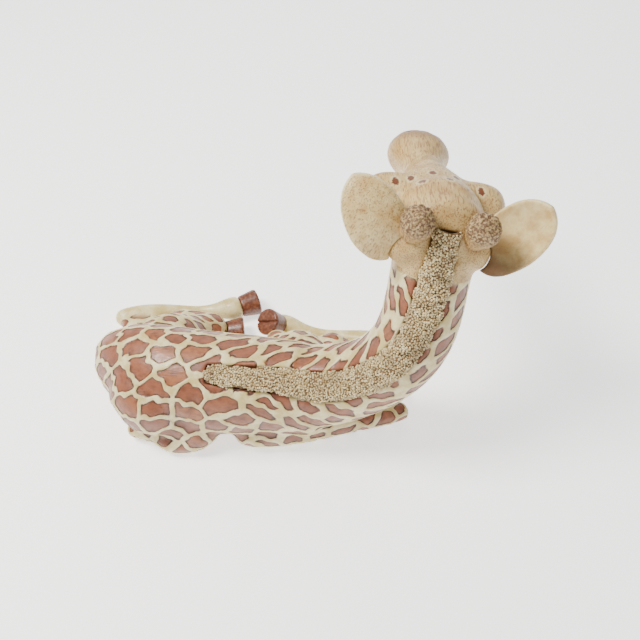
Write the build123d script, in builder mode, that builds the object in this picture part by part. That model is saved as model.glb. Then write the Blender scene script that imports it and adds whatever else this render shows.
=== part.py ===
from build123d import *
import os

# A resting giraffe, built up from carved blocks that are pinned with dowels and glued, then painted.
# Working frame, millimetres: +X from the rump to the chest, +Y to the animal's left, +Z up, the shelf at z = 0.
# Pieces are moved at the end, so that the origin is the bottom centre of the whole statue's box.

# ---- driving dimensions ----
felt_thickness = 1.0
felt_radius = 4.5
belly_felt_radius = 9.0
glue_gap = 0.1            # radial room for glue round a dowel or peg
end_gap = 0.5             # room at the blind end of a bore

neck_dowel_radius = 6.0
neck_dowel_length = 50.0
head_dowel_radius = 5.0
head_dowel_length = 34.0
leg_dowel_radius = 3.0
leg_dowel_length = 16.0
peg_radius = 3.5
peg_length = 9.0

skull_radius = 27.0
brow_radius = 14.0
brow_spread = 28.0        # from the head's middle plane to a brow's centre
brow_rise = 2.0
brow_forward = 20.0
boss_root = 4.0           # where a brow's or an ear's boss starts, beside the head's middle plane
nape_run = 12.0           # how far the neck's round section runs on into the head
nape_flare = 1.0          # how much wider it is there
ear_boss_radius = 11.0
ear_boss_place = (19.0, -5.0, -15.0)    # sideways, up and ahead from the skull's centre
eye_radius = 6.0
eye_seat = 2.5            # how far an eye's centre lies inside the brow's surface
eye_look = (0.86, -0.10, 0.45)          # outwards, up and ahead

ossicone_radius = 8.0
ossicone_height = 18.0    # from its foot inside the skull to the knob's centre
ossicone_knob_radius = 9.5
ossicone_flare = 2.0      # how much wider the stem is at its lower end
ossicone_foot = 8.0       # how far the stem runs on below its foot, before it is cut to the skull
ossicone_spread = 16.5
ossicone_root = (4.0, -13.5)            # rise, and way ahead, from the skull's centre
ossicone_lean = (0.08, 0.75, -0.65)     # outwards, up and back

ear_length = 52.0
ear_half_width = 16.0
ear_thickness = 3.5
ear_curve_radius = 42.0
ear_spread = 24.0
ear_root = (-11.0, -20.0)               # rise, and way ahead, from the skull's centre
ear_outline = ((0.55, 0.06), (1.0, 0.48), (0.55, 0.90))    # parts of its half width and of its length
ear_peg_radius = 1.6
ear_peg_reach = 5.0       # how far up the leaf its peg starts
# each ear: its side, the way that it points, and the way that its hollow looks
ear_seats = {
    "ear_left": (1, (-0.45, 0.45, 0.77), (-0.10, 0.85, -0.40)),
    "ear_right": (-1, (0.69, 0.19, 0.69), (-0.40, -0.76, 0.50)),
}

mane_half_thickness = 5.0
mane_proud = 3.6          # how far the mane stands above the hide
mane_half_width = 9.0
crest_half_width = 7.5    # at the mane's upper end, between the horns
crest_way = (0.0, 0.48, -0.88)          # from the skull's centre to that end: aside, up and ahead

fetlock_radius = 8.8
hoof_setback = 4.0        # from a fetlock's centre to the top of its hoof
hoof_length = 14.0
hoof_sole_radius = 10.2
hoof_edge_fillet = 1.5
cleft_width = 1.2
cleft_depth = 2.0

dome_steps = (0.5, 0.8, 0.97)   # where a limb's domed end is given, in parts of its radius

# ---- the animal's lines: centre, then half sizes, at each station ----
# barrel, from the rump forwards: x, y, z, half width, half height
torso_line = [
    (-108.0, 1.0, 33.0, 6.0, 6.0),
    (-104.0, 0.0, 33.0, 15.0, 16.0),
    (-92.0, -4.0, 33.5, 24.5, 26.0),
    (-72.0, -11.0, 35.5, 31.5, 33.0),
    (-45.0, -18.0, 36.5, 34.0, 35.0),
    (-12.0, -22.0, 37.0, 32.5, 34.5),
    (18.0, -25.0, 38.0, 30.0, 34.0),
    (44.0, -29.0, 41.0, 27.5, 32.0),
    (60.0, -31.0, 45.0, 24.0, 28.0),
]
# neck, from the shoulders up: centre, the side that the mane is on, half width, half depth
neck_line = [
    ((40.0, -28.0, 42.0), (-0.35, -0.45, 0.82), 27.0, 32.0),
    ((60.0, -31.0, 52.0), (-0.50, -0.60, 0.62), 25.5, 27.0),
    ((82.0, -34.0, 70.0), (-0.52, -0.71, 0.48), 23.5, 24.5),
    ((98.0, -31.0, 94.0), (-0.36, -0.84, 0.41), 23.5, 24.0),
    ((105.0, -21.0, 116.0), (-0.15, -0.88, 0.44), 23.5, 24.0),
    ((108.0, -11.0, 135.0), (-0.05, -0.88, 0.46), 23.5, 24.0),
]
neck_base_normal = (0.93, -0.12, 0.35)
# mane on the back, ahead of the neck: a point inside the barrel, the side it is on, reach to the hide
mane_on_back = [
    ((-27.0, -20.5, 36.8), (0.0, -0.45, 0.89), 34.0, 5.5),
    ((-14.0, -21.8, 37.0), (0.0, -0.465, 0.885), 34.0, 6.3),
    ((0.0, -23.0, 37.5), (0.0, -0.48, 0.88), 33.7, 7.0),
    ((26.0, -26.0, 40.0), (-0.12, -0.50, 0.86), 32.0, 8.0),
]

head_centre = (110.0, 2.0, 157.0)
head_ahead = (-0.01, 0.99, -0.12)
head_left = (-0.985, -0.01, 0.15)    # towards the animal's left, tipped by the tilt of the head
# face, from the back of the skull to the nose: along the face, rise, half width, half height
face_line = [
    (-20.0, 0.0, 17.0, 16.0),
    (0.0, 1.0, 25.5, 24.0),
    (20.0, 0.0, 24.5, 21.0),
    (42.0, -3.0, 18.0, 16.5),
    (62.0, -6.0, 13.5, 13.0),
    (80.0, -8.0, 19.0, 15.0),
    (96.0, -9.0, 18.5, 13.5),
    (106.0, -10.0, 10.0, 7.5),
]

# legs: centre and radius at each station; a cannon ends at its fetlock
hind_left_thigh_line = [
    ((-66.0, 10.0, 34.0), 21.0),
    ((-50.0, 28.0, 24.0), 17.0),
    ((-36.0, 43.0, 15.0), 12.0),
]
hind_left_gaskin_line = [
    ((-36.0, 43.0, 15.0), 11.5),
    ((-62.0, 50.0, 12.0), 10.0),
    ((-96.0, 49.0, 10.0), 7.5),
]
hind_left_cannon_line = [
    ((-102.0, 58.0, 9.5), 7.2),
    ((-66.0, 65.0, 8.5), 5.5),
    ((-35.0, 67.0, 8.0), 5.5),
    ((-20.0, 68.0, 9.0), fetlock_radius),
]
hind_right_thigh_line = [
    ((-68.0, -24.0, 33.0), 27.0),
    ((-48.0, -36.0, 24.0), 19.5),
    ((-36.0, -43.0, 15.0), 13.5),
]
hind_right_gaskin_line = [
    ((-36.0, -47.0, 10.0), 9.0),
    ((-55.0, -48.0, 8.5), 8.0),
    ((-80.0, -38.0, 8.0), 6.5),
]
hind_right_cannon_line = [
    ((-66.0, 26.0, 8.0), 6.0),
    ((-48.0, 37.0, 7.5), 5.5),
    ((-30.0, 45.0, 8.0), fetlock_radius),
]
fore_left_shoulder_line = [
    ((32.0, -6.0, 36.0), 21.0),
    ((21.0, 12.0, 28.0), 14.0),
    ((14.0, 26.0, 21.0), 9.0),
]
fore_left_forearm_line = [
    ((14.0, 26.0, 21.0), 7.4),
    ((50.0, 26.0, 17.0), 9.5),
    ((90.0, 20.0, 9.0), 8.0),
]
fore_left_cannon_line = [
    ((90.0, 36.0, 7.5), 7.0),
    ((60.0, 42.0, 7.0), 5.0),
    ((32.0, 48.0, 7.5), 5.0),
    ((16.0, 51.0, 8.5), fetlock_radius),
]
fore_right_forearm_line = [
    ((-3.0, -43.0, 12.0), 10.5),
    ((31.0, -40.0, 13.0), 11.5),
    ((66.0, -32.0, 11.0), 9.5),
    ((98.0, -25.0, 8.0), 7.0),
]
fore_right_cannon_line = [
    ((98.0, -9.0, 7.0), 6.5),
    ((82.0, -4.0, 7.0), 5.0),
    ((68.0, -2.0, 9.0), fetlock_radius),
]
# hooves: the way the sole faces, and the way the cleft runs across it
hoof_ways = {
    "hind_left": ((0.92, 0.38, 0.0), (0.0, 0.3, 1.0)),
    "hind_right": ((0.98, 0.12, 0.0), (0.0, 0.3, 1.0)),
    "fore_left": ((-0.62, -0.35, 0.70), (1.0, 0.0, -0.15)),
    "fore_right": ((-0.96, 0.12, 0.25), (0.0, 0.3, 1.0)),
}
tail_line = [
    ((-102.0, 6.0, 30.0), 4.5),
    ((-101.0, 18.0, 18.0), 3.8),
    ((-92.0, 27.0, 9.0), 3.4),
    ((-82.0, 30.0, 6.0), 3.2),
]
tuft_line = [((-82.0, 30.0, 6.0), 3.4), ((-75.0, 31.0, 6.5), 4.6), ((-66.0, 31.0, 6.0), 2.6)]

# leg dowels: where a dowel's middle lies, and its direction into the barrel
leg_dowel_seats = {
    "hind_left": ((-60.0, 13.0, 31.0), (-0.25, -0.85, 0.30)),
    "hind_right": ((-62.0, -42.0, 24.0), (-0.25, 0.85, 0.30)),
    "fore_left": ((24.0, 5.0, 31.0), (0.2, -0.90, 0.30)),
    "fore_right": ((-2.0, -42.0, 14.0), (0.0, 0.62, 0.78)),
}
# felts: x, y and radius, under what comes down to the shelf
felt_seats = [
    (-55.0, -17.0, belly_felt_radius),
    (5.0, -24.0, belly_felt_radius),
    (66.0, -32.0, felt_radius),
    (88.0, 36.0, felt_radius),
    (-98.0, 52.0, felt_radius),
]


def direction(values):
    return Vector(*values).normalized()


def line_planes(points, sides=None):
    """A plane square to the line at each of its points. Its x runs across the line."""
    planes = []
    for i, point in enumerate(points):
        ahead = Vector(*points[min(i + 1, len(points) - 1)])
        behind = Vector(*points[max(i - 1, 0)])
        along = (ahead - behind).normalized()
        side = direction(sides[i]) if sides else Vector(0, 0, 1)
        planes.append(Plane(origin=point, x_dir=along.cross(side), z_dir=along))
    return planes


def limb(line):
    """A tapering round limb through a line's stations, with domed ends."""
    planes = line_planes([point for point, _ in line])
    rear, front = line[0][1], line[-1][1]
    sections = [(planes[0].offset(-rear * t), rear * (1 - t**2) ** 0.5) for t in reversed(dome_steps)]
    sections += [(plane, radius) for plane, (_, radius) in zip(planes, line)]
    sections += [(planes[-1].offset(front * t), front * (1 - t**2) ** 0.5) for t in dome_steps]
    with BuildPart() as shape:
        for plane, radius in sections:
            with BuildSketch(plane):
                Circle(radius)
        loft()
    return shape.part


def rod(middle, along, radius, length):
    """A round rod centred on a point."""
    with BuildPart(Plane(origin=middle, z_dir=direction(along))) as shape:
        Cylinder(radius, length)
    return shape.part


def hoof(fetlock, sole_way, cleft_way):
    """A cloven hoof: a cone that widens to its flat sole, with the cleft sawn across the sole."""
    along = direction(sole_way)
    top_radius = (fetlock_radius**2 - hoof_setback**2) ** 0.5
    seat = Plane(
        origin=Vector(*fetlock) + along * hoof_setback, x_dir=along.cross(direction(cleft_way)), z_dir=along
    )
    with BuildPart(seat) as shape:
        Cone(top_radius, hoof_sole_radius, hoof_length, align=(Align.CENTER, Align.CENTER, Align.MIN))
        fillet(shape.faces().filter_by(GeomType.PLANE).sort_by(SortBy.AREA)[-1].edges(), hoof_edge_fillet)
        with Locations((0, 0, hoof_length)):
            Box(cleft_width, 3 * hoof_sole_radius, 2 * cleft_depth, mode=Mode.SUBTRACT)
    return shape.part


def largest(part):
    """The main solid, without crumbs that a cut leaves."""
    return part.solids().sort_by(SortBy.VOLUME)[-1]


shelf = Plane.XY.offset(felt_thickness)
pieces = {}


def finish(name, shape, *cutters):
    """Cuts a shape to its neighbours and to the level of the felts, and keeps its main solid."""
    with BuildPart() as cut:
        add(shape)
        for cutter in cutters:
            add(cutter, mode=Mode.SUBTRACT)
        split(bisect_by=shelf, keep=Keep.TOP)
    pieces[name] = largest(cut.part)
    return pieces[name]


# ---- dowels ----
neck_foot = Plane(origin=neck_line[0][0], z_dir=direction(neck_base_normal))
neck_dowel = rod(neck_line[0][0], neck_base_normal, neck_dowel_radius, neck_dowel_length)
neck_bore = rod(
    neck_line[0][0], neck_base_normal, neck_dowel_radius + glue_gap, neck_dowel_length + 2 * end_gap
)
neck_points = [point for point, _, _, _ in neck_line]
neck_sides = [side for _, side, _, _ in neck_line]
neck_planes = line_planes(neck_points, neck_sides)
neck_planes[0] = Plane(
    origin=neck_points[0], x_dir=neck_foot.z_dir.cross(direction(neck_sides[0])), z_dir=neck_foot.z_dir
)
nape = neck_planes[-1]
head_dowel = rod(nape.origin, nape.z_dir, head_dowel_radius, head_dowel_length)
head_bore = rod(nape.origin, nape.z_dir, head_dowel_radius + glue_gap, head_dowel_length + 2 * end_gap)
leg_dowels = {n: rod(*seat, leg_dowel_radius, leg_dowel_length) for n, seat in leg_dowel_seats.items()}
leg_bores = {
    n: rod(*seat, leg_dowel_radius + glue_gap, leg_dowel_length + 2 * end_gap)
    for n, seat in leg_dowel_seats.items()
}

# ---- barrel, sawn off square to the neck's foot ----
with BuildPart() as barrel:
    for x, y, z, half_width, half_height in torso_line:
        with BuildSketch(Plane(origin=(x, y, z), x_dir=(0, -1, 0), z_dir=(1, 0, 0))):
            Ellipse(half_width, half_height)
    loft()
    split(bisect_by=neck_foot, keep=Keep.BOTTOM)

# ---- neck ----
with BuildPart() as neck_block:
    for plane, (_, _, half_width, half_depth) in zip(neck_planes, neck_line):
        with BuildSketch(plane):
            Ellipse(half_width, half_depth)
    loft()

# ---- head ----
head_plane = Plane(origin=head_centre, x_dir=head_left, z_dir=direction(head_ahead))


def on_head(left, up, ahead):
    """A point given in the head's own directions."""
    return head_plane.from_local_coords(Vector(left, up, ahead))


def head_way(left, up, ahead):
    """A direction given in the head's own directions."""
    return (on_head(left, up, ahead) - head_plane.origin).normalized()


bosses = []
for side in (1, -1):
    for reach, rise, ahead, radius in (
        (brow_spread, brow_rise, brow_forward, brow_radius),
        (*ear_boss_place, ear_boss_radius),
    ):
        root = on_head(side * boss_root, rise, ahead)
        bosses.append(limb([(root, radius), (on_head(side * reach, rise, ahead), radius)]))

nape_radius = neck_line[-1][2]
beyond_skull = 3 * skull_radius
with BuildPart() as head_block:
    for along, rise, half_width, half_height in face_line:
        section = Plane(origin=on_head(0, rise, along), x_dir=head_plane.x_dir, z_dir=head_plane.z_dir)
        with BuildSketch(section):
            Ellipse(half_width, half_height)
    loft()
    with Locations(on_head(0, 0, 0)):
        Sphere(skull_radius)
    for boss in bosses:
        add(boss)
    with BuildSketch(nape):
        Circle(nape_radius)
    with BuildSketch(nape.offset(nape_run)):
        Circle(nape_radius + nape_flare)
    loft()
    with BuildSketch(nape):
        Circle(beyond_skull)
    extrude(amount=-beyond_skull, mode=Mode.SUBTRACT)
head_shape = head_block.part


# ---- mane: a strip half sunk along the back, the neck and the nape ----
def strip_plane(centre, side, along):
    """A section plane for the strip. Its y points out of the hide."""
    out = direction(side)
    along = (along - out * along.dot(out)).normalized()
    return Plane(origin=centre, x_dir=out.cross(along), z_dir=along)


strip_sink = mane_half_thickness - mane_proud
mane_stations = [
    (Vector(*centre) + direction(side) * (reach - strip_sink), side, half_width)
    for centre, side, reach, half_width in mane_on_back
]
for plane, (centre, side, _, half_depth) in list(zip(neck_planes, neck_line))[1:]:
    across = direction(side) - plane.z_dir * direction(side).dot(plane.z_dir)
    out = across.normalized()
    mane_stations.append((Vector(*centre) + out * (half_depth - strip_sink), tuple(out), mane_half_width))
crest_out = head_way(*crest_way)
crest = head_plane.origin + crest_out * (skull_radius - strip_sink)
mane_stations.append((crest, tuple(crest_out), crest_half_width))

with BuildPart() as mane_strip:
    for i, (centre, side, half_width) in enumerate(mane_stations):
        ahead = mane_stations[min(i + 1, len(mane_stations) - 1)][0]
        behind = mane_stations[max(i - 1, 0)][0]
        with BuildSketch(strip_plane(centre, side, ahead - behind)):
            Ellipse(half_width, mane_half_thickness)
    loft()
mane_shape = mane_strip.part


# ---- ears ----
def ear_shape(root, along, facing):
    """A cupped leaf: an outline cut out of a thin round shell. Its hollow looks along facing."""
    cup_rise = ear_curve_radius - (ear_curve_radius**2 - (ear_length / 2) ** 2) ** 0.5
    leaf = Plane(origin=root, x_dir=direction(along).cross(direction(facing)), z_dir=direction(facing))
    centre = leaf.from_local_coords(Vector(0, ear_length / 2, ear_curve_radius - cup_rise))
    edge_points = [(-across * ear_half_width, up * ear_length) for across, up in ear_outline]
    with BuildPart() as shape:
        with BuildSketch(leaf.offset(-ear_curve_radius)):
            with BuildLine():
                Spline((0, 0), *edge_points, (0, ear_length))
                mirror(about=Plane.YZ)
            make_face()
        extrude(amount=2 * ear_curve_radius)
        with Locations(centre):
            Sphere(ear_curve_radius, mode=Mode.INTERSECT)
        with Locations(centre):
            Sphere(ear_curve_radius - ear_thickness, mode=Mode.SUBTRACT)
    return shape.part


pegs, sockets, ears, ossicones, eyes = {}, {}, {}, {}, {}


def peg_pair(name, outer_end, inward, radius):
    """A peg that runs into the skull, and its socket."""
    middle = Vector(*outer_end) + direction(inward) * (peg_length / 2)
    pegs[name] = rod(middle, tuple(inward), radius, peg_length)
    sockets[name] = rod(middle, tuple(inward), radius + glue_gap, peg_length + 2 * end_gap)


for name, (side, along, facing) in ear_seats.items():
    root = on_head(side * ear_spread, *ear_root)
    ears[name] = ear_shape(root, along, facing)
    outer_end = root + direction(along) * ear_peg_reach + direction(facing) * (ear_thickness / 2)
    peg_pair(name, outer_end, head_plane.origin - outer_end, ear_peg_radius)

# ---- ossicones ----
for name, side in (("ossicone_left", 1), ("ossicone_right", -1)):
    base = on_head(side * ossicone_spread, *ossicone_root)
    up = head_way(side * ossicone_lean[0], *ossicone_lean[1:])
    stem = Plane(origin=base, z_dir=up)
    with BuildPart(stem.offset(-ossicone_foot)) as horn:
        Cone(
            ossicone_radius + ossicone_flare,
            ossicone_radius,
            ossicone_height + ossicone_foot,
            align=(Align.CENTER, Align.CENTER, Align.MIN),
        )
        with Locations((0, 0, ossicone_height + ossicone_foot)):
            Sphere(ossicone_knob_radius)
    ossicones[name] = horn.part
    peg_pair(name, base + up * peg_length, -up, peg_radius)

# ---- eyes: glass beads let into the brows ----
for name, side in (("eye_left", 1), ("eye_right", -1)):
    look = head_way(side * eye_look[0], *eye_look[1:])
    centre = on_head(side * brow_spread, brow_rise, brow_forward) + look * (brow_radius - eye_seat)
    with BuildPart() as bead:
        with Locations(centre):
            Sphere(eye_radius)
    with BuildPart() as bead_seat:
        with Locations(centre):
            Sphere(eye_radius + glue_gap)
    eyes[name] = bead.part
    sockets[name] = bead_seat.part

# ---- the pieces, each cut to what it seats on ----
finish("torso", barrel.part, neck_bore, mane_shape, *leg_bores.values())
finish("neck", neck_block.part, neck_bore, head_bore, mane_shape)
finish("head", head_shape, head_bore, mane_shape, *sockets.values())
finish("mane", mane_shape)
beside = {name: [] if name in ears else list(ears.values()) for name in pegs}
for name, shape in {**ears, **ossicones}.items():
    with BuildPart() as pegged:
        add(shape)
        for neighbour in (head_shape, mane_shape, *beside[name]):
            add(neighbour, mode=Mode.SUBTRACT)
        add(pegs[name])
    pieces[name] = largest(pegged.part)
pieces.update(eyes)

# ---- legs, from the body outwards ----
body = [barrel.part, neck_block.part]
cannons = {
    "hind_left": hind_left_cannon_line,
    "hind_right": hind_right_cannon_line,
    "fore_left": fore_left_cannon_line,
    "fore_right": fore_right_cannon_line,
}
hooves = {n: hoof(line[-1][0], *hoof_ways[n]) for n, line in cannons.items()}

left_thigh = finish("hind_left_thigh", limb(hind_left_thigh_line), *body, leg_bores["hind_left"])
left_gaskin = finish("hind_left_gaskin", limb(hind_left_gaskin_line), *body, left_thigh)
folded_left = [left_thigh, left_gaskin]
left_cannon = finish("hind_left_cannon", limb(cannons["hind_left"]), *body, *folded_left, hooves["hind_left"])
finish("hind_left_hoof", hooves["hind_left"], *folded_left)
folded_left.append(left_cannon)

right_thigh = finish("hind_right_thigh", limb(hind_right_thigh_line), *body, leg_bores["hind_right"])
finish("hind_right_gaskin", limb(hind_right_gaskin_line), *body, right_thigh)
beside_right_cannon = [*body, *folded_left, hooves["hind_right"]]
right_cannon = finish("hind_right_cannon", limb(cannons["hind_right"]), *beside_right_cannon)
finish("hind_right_hoof", hooves["hind_right"], *body, *folded_left)

shoulder = finish("fore_left_shoulder", limb(fore_left_shoulder_line), *body, leg_bores["fore_left"])
forearm = finish("fore_left_forearm", limb(fore_left_forearm_line), *body, shoulder)
finish("fore_left_cannon", limb(cannons["fore_left"]), *body, shoulder, forearm, hooves["fore_left"])
finish("fore_left_hoof", hooves["fore_left"], shoulder, forearm)

forearm = finish("fore_right_forearm", limb(fore_right_forearm_line), *body, leg_bores["fore_right"])
finish("fore_right_cannon", limb(cannons["fore_right"]), *body, forearm, hooves["fore_right"])
finish("fore_right_hoof", hooves["fore_right"], *body, forearm)

# ---- tail, tucked in beside the rump ----
tail = finish("tail", limb(tail_line), *body, left_thigh, left_gaskin)
finish("tail_tuft", limb(tuft_line), *body, tail, right_cannon, *folded_left)

# ---- dowels and felts ----
pieces["neck_dowel"] = neck_dowel
pieces["head_dowel"] = head_dowel
with BuildPart() as leg_pins:
    for dowel in leg_dowels.values():
        add(dowel)
pieces["leg_dowels"] = leg_pins.part
with BuildPart() as felts:
    for x, y, radius in felt_seats:
        with BuildSketch():
            with Locations((x, y)):
                Circle(radius)
        extrude(amount=felt_thickness)
pieces["felt_pads"] = felts.part

# ---- set on the origin and write ----
whole = Compound(list(pieces.values())).bounding_box()
origin = Vector(whole.center().X, whole.center().Y, 0)
os.makedirs("parts", exist_ok=True)
for name, piece in pieces.items():
    piece = piece.moved(Location(-origin))
    piece.label = name
    export_step(piece, f"parts/{name}.step")
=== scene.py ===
# %% [markdown]
# # A resting giraffe, carved and painted
# The statue is built up from blocks: a barrel, a neck, a head and folded legs, pinned with dowels and glued.
# After glueing, the carver blends the joints, so the hide looks like one skin. This lesson keeps that order.
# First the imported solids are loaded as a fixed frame. Every shape below grows out of them.
# Lengths in this file are millimetres until a mesh is made, and metres in Blender.

# %% The frame
import math

import bmesh
import bpy
import numpy as np
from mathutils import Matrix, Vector
from mathutils.bvhtree import BVHTree
from mathutils.kdtree import KDTree


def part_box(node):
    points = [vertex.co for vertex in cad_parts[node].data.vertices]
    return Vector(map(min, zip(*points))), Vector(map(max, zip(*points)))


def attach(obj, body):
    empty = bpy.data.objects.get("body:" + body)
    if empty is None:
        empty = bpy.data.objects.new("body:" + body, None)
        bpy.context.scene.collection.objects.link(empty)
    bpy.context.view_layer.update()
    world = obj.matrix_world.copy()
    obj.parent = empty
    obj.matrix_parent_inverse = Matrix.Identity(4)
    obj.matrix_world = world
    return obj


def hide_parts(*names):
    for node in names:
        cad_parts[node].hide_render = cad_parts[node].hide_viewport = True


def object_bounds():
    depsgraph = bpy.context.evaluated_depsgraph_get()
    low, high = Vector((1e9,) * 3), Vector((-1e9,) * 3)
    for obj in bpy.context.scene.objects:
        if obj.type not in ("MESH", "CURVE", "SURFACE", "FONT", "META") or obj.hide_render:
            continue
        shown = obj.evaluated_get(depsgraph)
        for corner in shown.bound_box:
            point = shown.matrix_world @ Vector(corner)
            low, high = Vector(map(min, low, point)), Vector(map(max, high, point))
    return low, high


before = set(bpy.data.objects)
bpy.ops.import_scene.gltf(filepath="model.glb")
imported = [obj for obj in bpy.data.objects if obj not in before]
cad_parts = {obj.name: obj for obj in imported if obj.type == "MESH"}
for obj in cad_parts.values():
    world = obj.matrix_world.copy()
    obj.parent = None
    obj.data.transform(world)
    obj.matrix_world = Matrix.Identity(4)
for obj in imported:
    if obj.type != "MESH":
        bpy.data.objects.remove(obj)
cad_box = [list(corner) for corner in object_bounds()]
MM = 0.001
print("nodes in the frame:", len(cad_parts))


# %% [markdown]
# ## The camera, the floor and the light
# The statue lies on a pale floor under soft light, and the camera looks down on it from behind its back.
# A lens of middling length close by gives the perspective. The aim is a point inside the statue's box.

# %% Camera, floor and light
camera_elevation = math.radians(50)
camera_distance = 512 * MM
camera_aim = Vector((13.6, -24.4, 76.0)) * MM
camera = bpy.data.objects.new("camera", bpy.data.cameras.new("camera"))
camera.data.lens = 45
camera.data.sensor_width = 36
camera_back = Vector((0, -math.cos(camera_elevation), math.sin(camera_elevation)))
camera.location = camera_aim + camera_back * camera_distance
camera.rotation_euler = camera_back.to_track_quat("Z", "Y").to_euler()
camera.data.clip_start = 0.01
bpy.context.scene.collection.objects.link(camera)
bpy.context.scene.camera = camera


def soft_light(name, place, size, power, tint=(1, 1, 1)):
    """A square soft box that looks at the statue."""
    lamp = bpy.data.lights.new(name, "AREA")
    lamp.size = size
    lamp.energy = power
    lamp.color = tint
    box = bpy.data.objects.new(name, lamp)
    box.location = place
    box.rotation_euler = (Vector(place) - camera_aim).to_track_quat("Z", "Y").to_euler()
    bpy.context.scene.collection.objects.link(box)


soft_light("key", (-0.55, -0.05, 0.95), 0.35, 19.0, (1.0, 0.975, 0.92))
soft_light("fill", (0.95, -0.55, 0.75), 0.9, 2.0)
soft_light("rim", (0.15, 1.0, 0.8), 0.8, 4.0)
world = bpy.data.worlds.new("room")
world.use_nodes = True
world.node_tree.nodes["Background"].inputs["Color"].default_value = (1.0, 0.985, 0.95, 1)
world.node_tree.nodes["Background"].inputs["Strength"].default_value = 0.5
bpy.context.scene.world = world
print("camera at", [round(value, 3) for value in camera.location])


# %% [markdown]
# ## A small kit for paint
# Each finish is a node material. These helpers let a recipe be written nearly as it would be said:
# "a noise this fine", "mix these two by that", "this much bump".

# %% Paint kit
def srgb(*values):
    """A colour as a person reads it on a screen, in the linear values that a shader wants."""
    return tuple(v / 12.92 if v <= 0.04045 else ((v + 0.055) / 1.055) ** 2.4 for v in values) + (1.0,)


class Paint:
    """A material under construction."""

    def __init__(self, name, roughness=0.45, coat=0.0):
        self.material = bpy.data.materials.new(name)
        self.material.use_nodes = True
        self.tree = self.material.node_tree
        self.shader = self.tree.nodes["Principled BSDF"]
        self.shader.inputs["Roughness"].default_value = roughness
        self.shader.inputs["Coat Weight"].default_value = coat
        self.shader.inputs["Coat Roughness"].default_value = 0.25
        self.place = self.add("ShaderNodeTexCoord").outputs["Object"]

    def add(self, kind, **inputs):
        node = self.tree.nodes.new(kind)
        for name, value in inputs.items():
            self.feed(node.inputs[name.replace("_", " ")], value)
        return node

    def feed(self, socket, value):
        if isinstance(value, bpy.types.NodeSocket):
            self.tree.links.new(value, socket)
        else:
            socket.default_value = value

    def attribute(self, name):
        node = self.add("ShaderNodeAttribute")
        node.attribute_name = name
        return node.outputs["Fac"]

    def noise(self, size, detail=3.0, stretch=(1, 1, 1), turn=(0, 0, 0)):
        """Noise with grains of this size in mm, longer by the stretch along each axis."""
        mapping = self.add("ShaderNodeMapping", Vector=self.place)
        mapping.vector_type = "TEXTURE"
        mapping.inputs["Scale"].default_value = tuple(size * MM * s for s in stretch)
        mapping.inputs["Rotation"].default_value = turn
        node = self.add("ShaderNodeTexNoise", Vector=mapping.outputs[0], Scale=1.0, Detail=detail)
        node.inputs["Roughness"].default_value = 0.55
        return node.outputs["Fac"]

    def band(self, value, start, end, low=0.0, high=1.0):
        """A smooth step from low to high as the value goes from start to end."""
        node = self.add("ShaderNodeMapRange", Value=value)
        node.interpolation_type = "SMOOTHSTEP"
        for name, number in (("From Min", start), ("From Max", end), ("To Min", low), ("To Max", high)):
            self.feed(node.inputs[name], number)
        return node.outputs["Result"]

    def sum(self, first, second, work="ADD"):
        node = self.add("ShaderNodeMath")
        node.operation = work
        self.feed(node.inputs[0], first)
        self.feed(node.inputs[1], second)
        return node.outputs[0]

    def mix(self, factor, first, second, way="MIX"):
        node = self.add("ShaderNodeMix")
        node.data_type = "RGBA"
        node.blend_type = way
        self.feed(node.inputs["Factor"], factor)
        self.feed(node.inputs[6], first)
        self.feed(node.inputs[7], second)
        return node.outputs[2]

    def finish(self, colour, relief=None, depth=0.3, roughness=None):
        """The colour, a relief in parts of depth mm, and a roughness that varies."""
        self.feed(self.shader.inputs["Base Color"], colour)
        if relief is not None:
            bump = self.add("ShaderNodeBump", Height=relief, Distance=depth * MM, Strength=1.0)
            self.feed(self.shader.inputs["Normal"], bump.outputs[0])
        if roughness is not None:
            self.feed(self.shader.inputs["Roughness"], roughness)
        return self.material


# %% [markdown]
# The floor is a plain pale sheet, with the faintest cloudiness so that it isn't a dead flat colour.

# %% Floor
floor_paint = Paint("floor_sheet", roughness=0.6)
floor_cloud = floor_paint.noise(60.0)
floor_paint.finish(floor_paint.mix(floor_cloud, srgb(0.955, 0.955, 0.955), srgb(0.975, 0.975, 0.975)))
floor_paint.shader.inputs["Emission Color"].default_value = (1, 1, 1, 1)
floor_paint.shader.inputs["Emission Strength"].default_value = 1.3
floor_mesh = bpy.data.meshes.new("floor")
floor_half = 3.0
floor_corners = [(x * floor_half, y * floor_half, 0) for x, y in ((-1, -1), (1, -1), (1, 1), (-1, 1))]
floor_mesh.from_pydata(floor_corners, [], [(0, 1, 2, 3)])
floor_mesh.materials.append(floor_paint.material)
floor = bpy.data.objects.new("floor", floor_mesh)
bpy.context.scene.collection.objects.link(floor)


# %% [markdown]
# ## From blocks to one skin
# The blocks meet at hard corners. A carver would rasp them away; here the blocks are filled into a fine grid
# of small cubes, the grid is blurred a little, and a skin is drawn where the blur is half full. That merges
# the blocks and rounds every corner at once. Each cube also remembers its block, so that the skin can be cut
# apart again.

# %% Filling a grid with the blocks
hide_nodes = [
    "torso", "neck", "head",
    "hind_left_thigh", "hind_left_gaskin", "hind_left_cannon",
    "hind_right_thigh", "hind_right_gaskin", "hind_right_cannon",
    "fore_left_shoulder", "fore_left_forearm", "fore_left_cannon",
    "fore_right_forearm", "fore_right_cannon",
    "tail",
]
inner_nodes = ["neck_dowel", "head_dowel", "leg_dowels"]
grid_step = 0.8
grid_margin = 5
grid_low = np.array(cad_box[0]) / MM - grid_margin * grid_step
grid_shape = np.ceil((np.array(cad_box[1]) / MM - grid_low) / grid_step).astype(int) + grid_margin


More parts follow.
